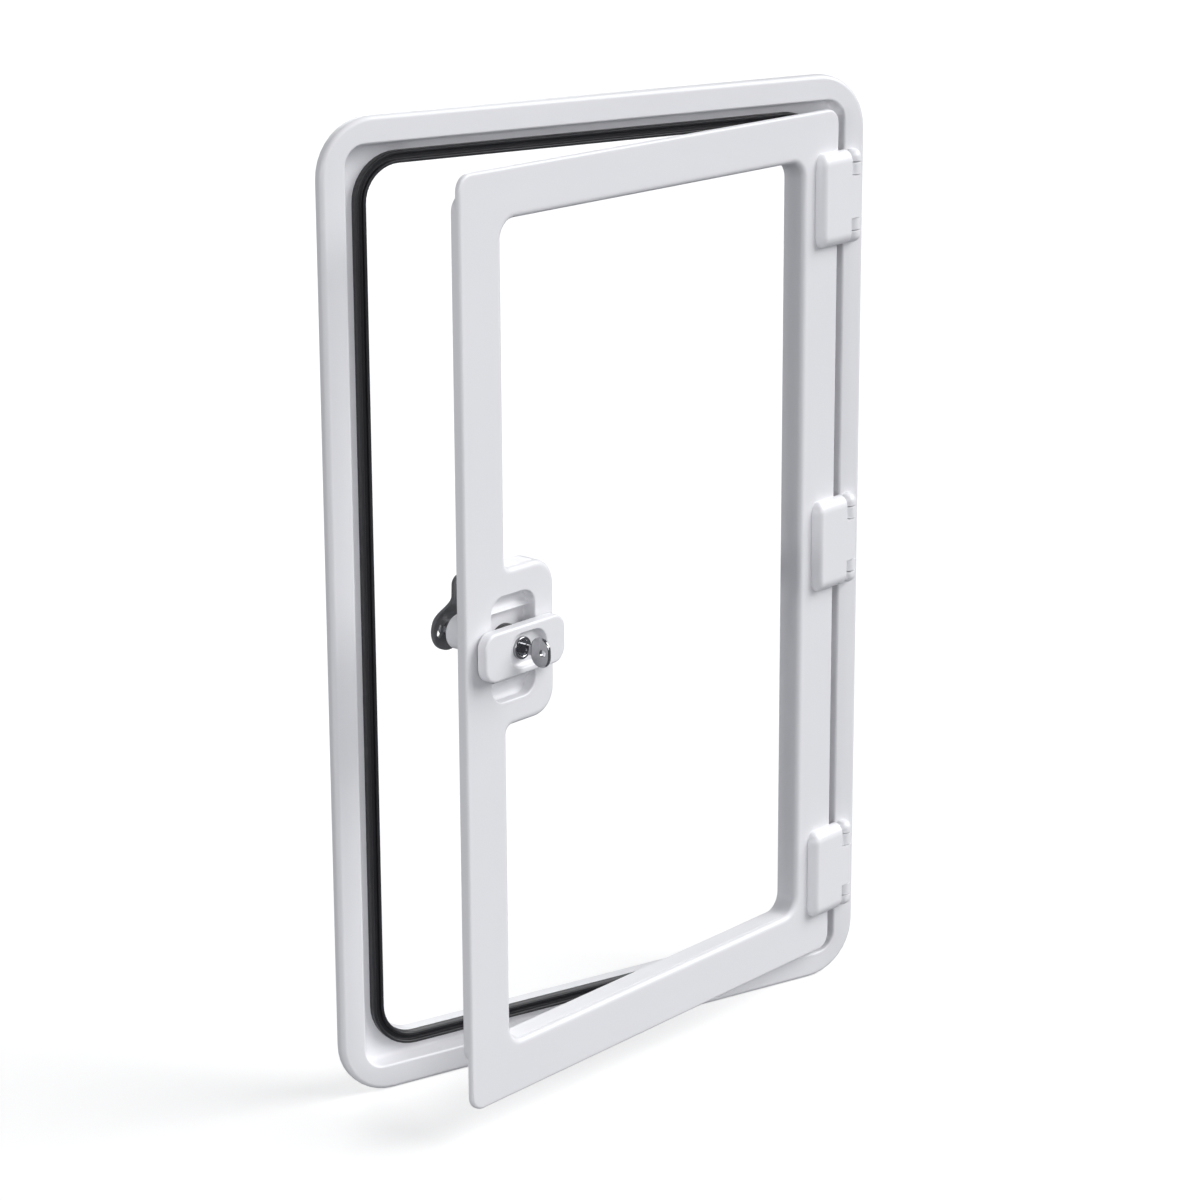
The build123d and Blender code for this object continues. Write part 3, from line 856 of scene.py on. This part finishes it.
class HATCH_OT_handle(bpy.types.Operator):
    """Builds the handle plate with its dished recess and shank, and the ring behind it"""

    bl_idname = "hatch.handle"
    bl_label = "Handle"

    def execute(self, context):
        sizes = context.scene.hatch_lock
        bm = bmesh.new()
        width, height, corner, back_edge = sizes.width, sizes.height, 11 * MM, 0.8 * MM
        wide, tall, bend = 38 * MM, 26 * MM, 12 * MM
        shift, rise = 2.8 * MM, -0.5 * MM
        lip, foot = 0.7 * MM, 2.2 * MM
        floor = HANDLE_FRONT + sizes.dish
        bore, bore_depth = sizes.cylinder + 0.15 * MM, 3 * MM
        plate = [
            (lock_corners(width + 2 * grow, height + 2 * grow, corner + grow), depth, soft)
            for grow, depth, soft in (
                (-sizes.edge - back_edge, HANDLE_FRONT, 0), (0, HANDLE_FRONT, sizes.edge),
                (0, HANDLE_BACK, back_edge), (-2 * MM, HANDLE_BACK, 0),
            )
        ]
        recess = [
            (lock_corners(wide + 2 * grow, tall + 2 * grow, bend + grow, shift, rise), depth, soft)
            for grow, depth, soft in (
                (lip + 0.6 * MM, HANDLE_FRONT, 0), (0, HANDLE_FRONT, lip),
                (-MM, floor, foot), (-4 * MM, floor, 0),
            )
        ]
        outer_front, outer_back = skin(bm, plate)
        dish_front, dish_floor = skin(bm, recess)
        bore_front, bore_end = skin(bm, [(bore, floor, 0), (bore, floor + bore_depth, 0)])
        lid(bm, outer_front, dish_front)
        lid(bm, dish_floor, bore_front)
        bmesh.ops.edgeloop_fill(bm, edges=outer_back)
        bmesh.ops.edgeloop_fill(bm, edges=bore_end)
        shank, sunk = 10.5 * MM, 0.5 * MM
        turned(bm, [(shank, HANDLE_BACK - sunk, 0), (shank, SHANK_END, 0.6 * MM)])
        swing_open(bm)
        finish_piece(
            bm, "handle_grip", "handle", white_fittings(), ["handle_plate"],
        )

        collar = bmesh.new()
        outside, inside, front = 14.5 * MM, 11.1 * MM, POCKET_FLOOR - 4 * MM
        turned(collar, [
            (outside, POCKET_FLOOR, 0), (outside, front, 1.2 * MM),
            (inside, front, 0.6 * MM), (inside, POCKET_FLOOR, 0),
        ], closed=True)
        swing_open(collar)
        finish_piece(collar, "shank_ring", "door", black_rubber(), ["lock_ring"])
        return {"FINISHED"}


class HATCH_OT_lock(bpy.types.Operator):
    """Builds the lock cylinder, its turning plug and the key"""

    bl_idname = "hatch.lock"
    bl_label = "Lock and key"

    def execute(self, context):
        sizes = context.scene.hatch_lock
        front = HANDLE_FRONT + sizes.dish - 2 * MM
        back = front + 26 * MM
        radius, plug = sizes.cylinder, 5.5 * MM
        bore, cone = plug + 0.15 * MM, 0.9 * MM
        bm = bmesh.new()
        turned(bm, [
            (radius, back, 0), (radius, front, cone), (plug + cone, front, 0.3 * MM),
            (bore, front + cone, 0), (bore, back, 0),
        ], closed=True)
        swing_open(bm)
        finish_piece(
            bm, "cylinder_sleeve", "handle", bright_metal(), ["lock_cylinder"],
        )

        bm = bmesh.new()
        plug_front, plug_back = front + 0.5 * MM, front + 23.9 * MM
        turned(bm, [(plug, plug_front, 0.4 * MM), (plug, plug_back, 0)])
        slot = bmesh.new()
        half_wide, half_tall, slot_end = 1.1 * MM, 3.6 * MM, front + 20.5 * MM
        block(
            slot, (LOCK.x - half_wide, front - MM, LOCK.z - half_tall),
            (LOCK.x + half_wide, slot_end, LOCK.z + half_tall),
        )
        bmesh.ops.recalc_face_normals(bm, faces=bm.faces)
        bm = carve(bm, slot)
        swing_open(bm)
        finish_piece(bm, "lock_plug", "plug", bright_metal(), ["cylinder_plug"])

        self.add_key(sizes, front)
        return {"FINISHED"}

    def add_key(self, sizes, front):
        """An oval bow with a ring hole, a neck and a plain blade."""
        bm = bmesh.new()
        half = sizes.key / 2
        length, half_bow, bend = 18 * MM, 11 * MM, 8.7 * MM
        half_hole, hole_middle = 2.6 * MM, 11.8 * MM
        blade, half_blade, half_tall = 20 * MM, MM, 3.5 * MM
        bow_back = front - 7.5 * MM
        bow = box_corners(bow_back - length, bow_back, LOCK.z - half_bow, LOCK.z + half_bow, bend)
        centre = bow_back - hole_middle
        hole = box_corners(
            centre - half_hole, centre + half_hole, LOCK.z - half_hole, LOCK.z + half_hole, 2.5 * MM,
        )
        soft = half * 0.8
        grow = soft + 0.4 * MM
        ends = []
        for shape, sign, radius in ((bow, -1, soft), (hole, 1, 0.5 * MM)):
            shelf = self.offset(shape, sign * grow)
            ends.append(skin(bm, [
                (shelf, -half, 0), (shape, -half, radius), (shape, half, radius), (shelf, half, 0),
            ]))
        (bow_left, bow_right), (hole_left, hole_right) = ends
        lid(bm, bow_left, hole_left)
        lid(bm, bow_right, hole_right)
        verts = block(
            bm, (bow_back - MM, -half_blade, LOCK.z - half_tall),
            (front + blade, half_blade, LOCK.z + half_tall),
        )
        ease(bm, edges_where(verts, lambda co: True), 0.25 * MM, 2)
        quarter = Matrix.Rotation(radians(90), 3, "Z")
        bmesh.ops.rotate(bm, cent=(0, 0, 0), matrix=quarter, verts=bm.verts)
        bmesh.ops.translate(bm, vec=(LOCK.x, 0, 0), verts=bm.verts)
        swing_open(bm)
        finish_piece(bm, "key_bow_and_blade", "key", bright_metal(), ["key"])

    def offset(self, corners, grow):
        """Four rounded corners moved outward by grow."""
        (left, low, radius), _, (right, high, _), _ = corners
        return box_corners(left - grow, right + grow, low - grow, high + grow, radius + grow)


class HATCH_OT_latch(bpy.types.Operator):
    """Builds the rear housing and the latch lever, and dresses the screw and the spindle"""

    bl_idname = "hatch.latch"
    bl_label = "Housing and latch"

    def execute(self, context):
        bm = bmesh.new()
        radius = 13 * MM
        turned(bm, [
            (SPINDLE_BORE, RIM_BACK, 0), (radius, RIM_BACK, 0), (radius, HOUSING_END, 1.2 * MM),
            (SPINDLE_BORE, HOUSING_END, 0.4 * MM),
        ], closed=True)
        swing_open(bm)
        finish_piece(
            bm, "rear_housing", "door", white_fittings(), ["lock_housing"],
        )
        self.add_lever()
        dress_node("lever_screw", steel(), 0.3 * MM)
        dress_node("handle_spindle", steel())
        return {"FINISHED"}

    def add_lever(self):
        """The latch lever: a round hub with a slanted eye, drawn in to a joggled tongue."""
        front, thick = FACE + 65.5 * MM, 3 * MM
        levels = [
            (16 * MM, -16 * MM, 15.7 * MM), (16 * MM, 4 * MM, 4 * MM),
            (8 * MM, 18 * MM, 11 * MM), (7 * MM, 43 * MM, 6.7 * MM),
        ]
        right = [(LOCK.x + half, LOCK.z + rise, bend) for half, rise, bend in levels]
        left = [(LOCK.x - half, LOCK.z + rise, bend) for half, rise, bend in reversed(levels)]
        outline = left[-1:] + right + left[:-1]
        lean = Matrix.Rotation(radians(25), 2)
        aside, half_wide, half_tall, bend = 8.8 * MM, 3 * MM, 4.8 * MM, 2.9 * MM
        eye = []
        for side, end in ((-1, -1), (1, -1), (1, 1), (-1, 1)):
            x, z = Vector((side * half_wide, end * half_tall)) @ lean
            eye.append((LOCK.x - aside + x, LOCK.z + z, bend))
        bm = bmesh.new()
        outer_front, outer_back = skin(bm, [(outline, front, 0), (outline, front + thick, 0)])
        eye_front, eye_back = skin(bm, [(eye, front, 0), (eye, front + thick, 0)])
        lid(bm, outer_front, eye_front)
        lid(bm, outer_back, eye_back)
        start, run, joggle, steps = LOCK.z + 8 * MM, 20 * MM, 13 * MM, 10
        for cut in range(steps + 1):
            level = start + run * cut / steps
            bmesh.ops.bisect_plane(
                bm, geom=bm.verts[:] + bm.edges[:] + bm.faces[:],
                plane_co=(0, 0, level), plane_no=(0, 0, 1),
            )
        for vert in bm.verts:
            along = min(1, max(0, (vert.co.z - start) / run))
            vert.co.y -= joggle * along * along * (3 - 2 * along)
        swing_open(bm)
        finish_piece(
            bm, "latch_lever_plate", "handle", dark_metal(), ["latch_lever"],
            soft=0.5 * MM,
        )


class HATCH_OT_stage(bpy.types.Operator):
    """Builds the pale floor and backdrop, the soft lights and the camera"""

    bl_idname = "hatch.stage"
    bl_label = "Stage"

    def execute(self, context):
        sizes = context.scene.hatch_stage
        scene = context.scene
        reach = 30.0
        bm = bmesh.new()
        bmesh.ops.create_grid(
            bm, x_segments=1, y_segments=1, size=reach,
            matrix=Matrix.Translation((0, 0, CAD_LOW.z)),
        )
        self.set_up(object_from(bm, "floor"), sizes.floor, sizes.floor_glow)
        bm = bmesh.new()
        bmesh.ops.create_uvsphere(bm, u_segments=48, v_segments=24, radius=reach - 1.0)
        backdrop = self.set_up(object_from(bm, "backdrop"), sizes.floor, sizes.backdrop_glow)
        backdrop.visible_shadow = False

        self.add_light("key_light", Vector((0.68, -0.42, 0.60)), 45, sizes.key_strength)
        self.add_light("front_light", Vector((-0.35, -0.90, 0.25)), 30, sizes.front_strength)
        along_door = Vector((-cos(OPEN_ANGLE), -sin(OPEN_ANGLE), 0.05))
        self.add_light("side_light", along_door, 5, sizes.side_strength)
        self.add_light("back_light", Vector((0.20, 0.92, 0.30)), 40, sizes.back_strength)

        world = bpy.data.worlds.new("studio")
        world.use_nodes = True
        air = world.node_tree.nodes["Background"]
        air.inputs["Color"].default_value = (0.88, 0.92, 1.0, 1)
        air.inputs["Strength"].default_value = sizes.ambient
        scene.world = world
        scene.view_settings.view_transform = "Standard"

        camera = bpy.data.cameras.new("camera")
        camera.lens = sizes.lens
        camera.sensor_width = 36.0
        camera.shift_x, camera.shift_y = -0.0464, -0.0904
        camera.clip_end = 100.0
        holder = bpy.data.objects.new("camera", camera)
        scene.collection.objects.link(holder)
        yaw, pitch = sizes.yaw, sizes.pitch
        ahead = Vector((sin(yaw) * cos(pitch), cos(yaw) * cos(pitch), sin(pitch)))
        across = Vector((cos(yaw), -sin(yaw), 0.0))
        above = across.cross(ahead)
        turn = Matrix((across, above, -ahead)).transposed().to_4x4()
        holder.matrix_world = Matrix.Translation((-1.3116, -2.0703, 1.07155)) @ turn
        scene.camera = holder
        return {"FINISHED"}

    def set_up(self, thing, colour, glow):
        """Make the floor or the backdrop, with some light of its own that falls on nothing else."""
        finish = surface("studio_" + thing.name, colour, 0.8, patches=0.0, relief=0.0)
        shader = finish.node_tree.nodes["Principled BSDF"]
        shader.inputs["Emission Color"].default_value = (1, 1, 1, 1)
        shader.inputs["Emission Strength"].default_value = glow
        thing.data.materials.append(finish)
        thing.visible_diffuse = False
        thing.visible_glossy = False
        return thing

    def add_light(self, name, towards, spread, strength):
        """A soft even light from one side; spread is its width in degrees."""
        light = bpy.data.lights.new(name, "SUN")
        light.angle = radians(spread)
        light.energy = strength
        holder = bpy.data.objects.new(name, light)
        holder.matrix_world = (-towards).to_track_quat("-Z", "Y").to_matrix().to_4x4()
        bpy.context.scene.collection.objects.link(holder)


class HATCH_PT_panel(bpy.types.Panel):
    """Lists the hatch's pieces in the 3D view's sidebar"""

    bl_idname = "HATCH_PT_panel"
    bl_label = "Service hatch"
    bl_space_type = "VIEW_3D"
    bl_region_type = "UI"
    bl_category = "Hatch"

    def draw(self, context):
        for name, _ in SETTINGS:
            sizes = getattr(context.scene, name)
            box = self.layout.box()
            for key in sizes.bl_rna.properties.keys():
                if key not in ("rna_type", "name"):
                    box.prop(sizes, key)
        for piece in PIECES:
            self.layout.operator(piece.bl_idname)


SETTINGS = [
    ("hatch_frame", HatchFrame), ("hatch_door", HatchDoor), ("hatch_hinge", HatchHinge),
    ("hatch_lock", HatchLock), ("hatch_finish", HatchFinish), ("hatch_stage", HatchStage),
]
PIECES = [
    HATCH_OT_frame, HATCH_OT_seal, HATCH_OT_door, HATCH_OT_hinges,
    HATCH_OT_handle, HATCH_OT_lock, HATCH_OT_latch, HATCH_OT_stage,
]


def register():
    for name, group in SETTINGS:
        bpy.utils.register_class(group)
        setattr(bpy.types.Scene, name, PointerProperty(type=group))
    for piece in PIECES + [HATCH_PT_panel]:
        bpy.utils.register_class(piece)


def unregister():
    for piece in PIECES + [HATCH_PT_panel]:
        bpy.utils.unregister_class(piece)
    for name, group in SETTINGS:
        delattr(bpy.types.Scene, name)
        bpy.utils.unregister_class(group)


def main():
    """Register the add-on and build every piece."""
    register()
    for build in (
        bpy.ops.hatch.frame, bpy.ops.hatch.seal, bpy.ops.hatch.door, bpy.ops.hatch.hinges,
        bpy.ops.hatch.handle, bpy.ops.hatch.lock, bpy.ops.hatch.latch, bpy.ops.hatch.stage,
    ):
        build()


if __name__ == "__main__":
    main()
